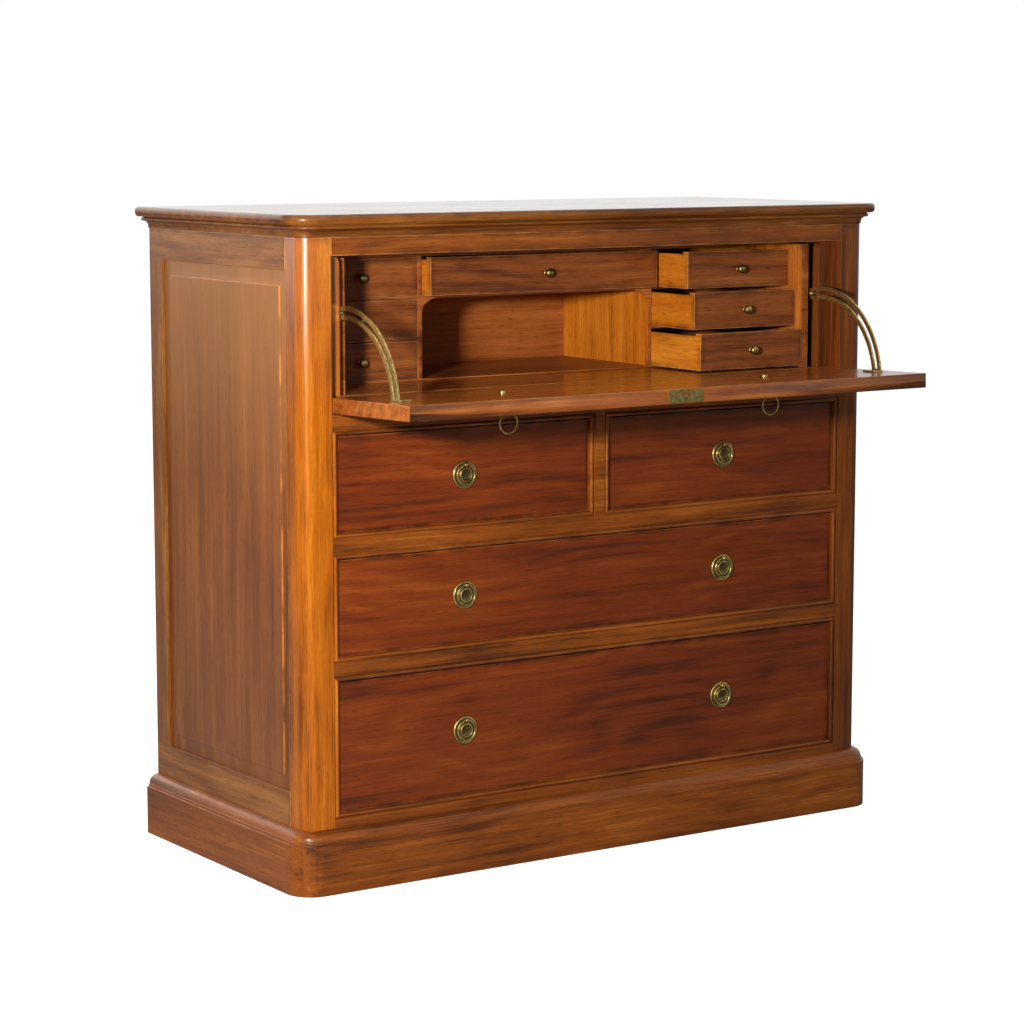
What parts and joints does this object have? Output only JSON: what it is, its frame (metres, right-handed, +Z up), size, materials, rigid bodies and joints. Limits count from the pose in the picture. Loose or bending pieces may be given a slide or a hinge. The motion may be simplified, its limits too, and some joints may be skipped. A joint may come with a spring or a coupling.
{
  "type": "secretaire chest of drawers",
  "caption": "Chest of drawers whose fall front opens on slotted quadrant stays over a fitted writing interior.",
  "frame": {"origin": "on the floor under the middle of the carcass front, on the underside of the plinth", "axes": "+X to the right along the front, +Y back into the depth, +Z up"},
  "size_m": [1.162, 0.7238, 1.05],
  "materials": {
    "frame_wood": "polished red-brown hardwood, satin",
    "top_wood": "polished red-brown hardwood, glossy",
    "panel_wood": "polished red-brown hardwood, satin",
    "front_wood": "figured dark red-brown hardwood, satin",
    "fall_wood": "polished red-brown hardwood, satin",
    "small_drawer_wood": "red-brown hardwood, dull satin",
    "inner_wood": "plain warm brown hardwood, dull satin",
    "brass": "aged brass, softly polished"
  },
  "bodies": {
    "carcass": {"top_board": "top_wood", "plinth": "frame_wood", "left_post": "frame_wood", "right_post": "frame_wood", "left_side_frame": "frame_wood", "right_side_frame": "frame_wood", "left_side_panel": "panel_wood", "right_side_panel": "panel_wood", "back_panel": "inner_wood", "top_rail": "frame_wood", "fall_rail": "frame_wood", "upper_rail": "frame_wood", "lower_rail": "frame_wood", "writing_deck": "fall_wood", "interior_case": "inner_wood", "case_dividers": "inner_wood", "left_stay_stud": "brass", "right_stay_stud": "brass"},
    "fall": {"fall_board": "fall_wood", "lock_plate": "brass", "left_stay": "brass", "right_stay": "brass", "left_fall_rosette": "brass", "right_fall_rosette": "brass"},
    "left_fall_pull": {"left_fall_ring": "brass"},
    "right_fall_pull": {"right_fall_ring": "brass"},
    "upper_left_drawer": {"upper_left_drawer_front": "front_wood", "upper_left_drawer_box": "inner_wood", "upper_left_rosette": "brass"},
    "upper_right_drawer": {"upper_right_drawer_front": "front_wood", "upper_right_drawer_box": "inner_wood", "upper_right_rosette": "brass"},
    "middle_drawer": {"middle_drawer_front": "front_wood", "middle_drawer_box": "inner_wood", "middle_left_rosette": "brass", "middle_right_rosette": "brass"},
    "lower_drawer": {"lower_drawer_front": "front_wood", "lower_drawer_box": "inner_wood", "lower_left_rosette": "brass", "lower_right_rosette": "brass"},
    "upper_left_pull": {"upper_left_ring": "brass"},
    "upper_right_pull": {"upper_right_ring": "brass"},
    "middle_left_pull": {"middle_left_ring": "brass"},
    "middle_right_pull": {"middle_right_ring": "brass"},
    "lower_left_pull": {"lower_left_ring": "brass"},
    "lower_right_pull": {"lower_right_ring": "brass"},
    "inner_left_bottom": {"inner_left_bottom_drawer": "small_drawer_wood", "inner_left_bottom_knob": "brass"},
    "inner_left_middle": {"inner_left_middle_drawer": "small_drawer_wood", "inner_left_middle_knob": "brass"},
    "inner_left_top": {"inner_left_top_drawer": "small_drawer_wood", "inner_left_top_knob": "brass"},
    "inner_right_bottom": {"inner_right_bottom_drawer": "small_drawer_wood", "inner_right_bottom_knob": "brass"},
    "inner_right_middle": {"inner_right_middle_drawer": "small_drawer_wood", "inner_right_middle_knob": "brass"},
    "inner_right_top": {"inner_right_top_drawer": "small_drawer_wood", "inner_right_top_knob": "brass"},
    "inner_centre": {"inner_centre_drawer": "small_drawer_wood", "inner_centre_knob": "brass"}
  },
  "joints": [
    {"name": "fall_hinge", "type": "hinge", "parent": "carcass", "child": "fall", "pos_m": [0, 0.00835, 0.75495], "axis": [1, 0, 0], "range_deg": [-88.4, 0]},
    {"name": "left_fall_ring_swing", "type": "hinge", "parent": "fall", "child": "left_fall_pull", "pos_m": [-0.2575, -0.11757, 0.74511], "axis": [-1, 0, 0], "range_deg": [-88.4, 86.6]},
    {"name": "right_fall_ring_swing", "type": "hinge", "parent": "fall", "child": "right_fall_pull", "pos_m": [0.2575, -0.11757, 0.74511], "axis": [-1, 0, 0], "range_deg": [-88.4, 86.6]},
    {"name": "upper_left_slide", "type": "slide", "parent": "carcass", "child": "upper_left_drawer", "axis": [0, -1, 0], "range_m": [0, 0.35]},
    {"name": "upper_right_slide", "type": "slide", "parent": "carcass", "child": "upper_right_drawer", "axis": [0, -1, 0], "range_m": [0, 0.35]},
    {"name": "middle_slide", "type": "slide", "parent": "carcass", "child": "middle_drawer", "axis": [0, -1, 0], "range_m": [0, 0.35]},
    {"name": "lower_slide", "type": "slide", "parent": "carcass", "child": "lower_drawer", "axis": [0, -1, 0], "range_m": [0, 0.35]},
    {"name": "upper_left_ring_swing", "type": "hinge", "parent": "upper_left_drawer", "child": "upper_left_pull", "pos_m": [-0.2575, 0.003, 0.6527], "axis": [-1, 0, 0], "range_deg": [0, 175]},
    {"name": "upper_right_ring_swing", "type": "hinge", "parent": "upper_right_drawer", "child": "upper_right_pull", "pos_m": [0.2575, 0.003, 0.6527], "axis": [-1, 0, 0], "range_deg": [0, 175]},
    {"name": "middle_left_ring_swing", "type": "hinge", "parent": "middle_drawer", "child": "middle_left_pull", "pos_m": [-0.2575, 0.003, 0.4602], "axis": [-1, 0, 0], "range_deg": [0, 175]},
    {"name": "middle_right_ring_swing", "type": "hinge", "parent": "middle_drawer", "child": "middle_right_pull", "pos_m": [0.2575, 0.003, 0.4602], "axis": [-1, 0, 0], "range_deg": [0, 175]},
    {"name": "lower_left_ring_swing", "type": "hinge", "parent": "lower_drawer", "child": "lower_left_pull", "pos_m": [-0.2575, 0.003, 0.2417], "axis": [-1, 0, 0], "range_deg": [0, 175]},
    {"name": "lower_right_ring_swing", "type": "hinge", "parent": "lower_drawer", "child": "lower_right_pull", "pos_m": [0.2575, 0.003, 0.2417], "axis": [-1, 0, 0], "range_deg": [0, 175]},
    {"name": "inner_left_bottom_slide", "type": "slide", "parent": "carcass", "child": "inner_left_bottom", "axis": [0, -1, 0], "range_m": [0, 0.25]},
    {"name": "inner_left_middle_slide", "type": "slide", "parent": "carcass", "child": "inner_left_middle", "axis": [0, -1, 0], "range_m": [0, 0.25]},
    {"name": "inner_left_top_slide", "type": "slide", "parent": "carcass", "child": "inner_left_top", "axis": [0, -1, 0], "range_m": [0, 0.25]},
    {"name": "inner_right_bottom_slide", "type": "slide", "parent": "carcass", "child": "inner_right_bottom", "axis": [0, -1, 0], "range_m": [-0.138, 0.112]},
    {"name": "inner_right_middle_slide", "type": "slide", "parent": "carcass", "child": "inner_right_middle", "axis": [0, -1, 0], "range_m": [-0.12, 0.13]},
    {"name": "inner_right_top_slide", "type": "slide", "parent": "carcass", "child": "inner_right_top", "axis": [0, -1, 0], "range_m": [-0.101, 0.149]},
    {"name": "inner_centre_slide", "type": "slide", "parent": "carcass", "child": "inner_centre", "axis": [0, -1, 0], "range_m": [-0.026, 0.224]}
  ]
}
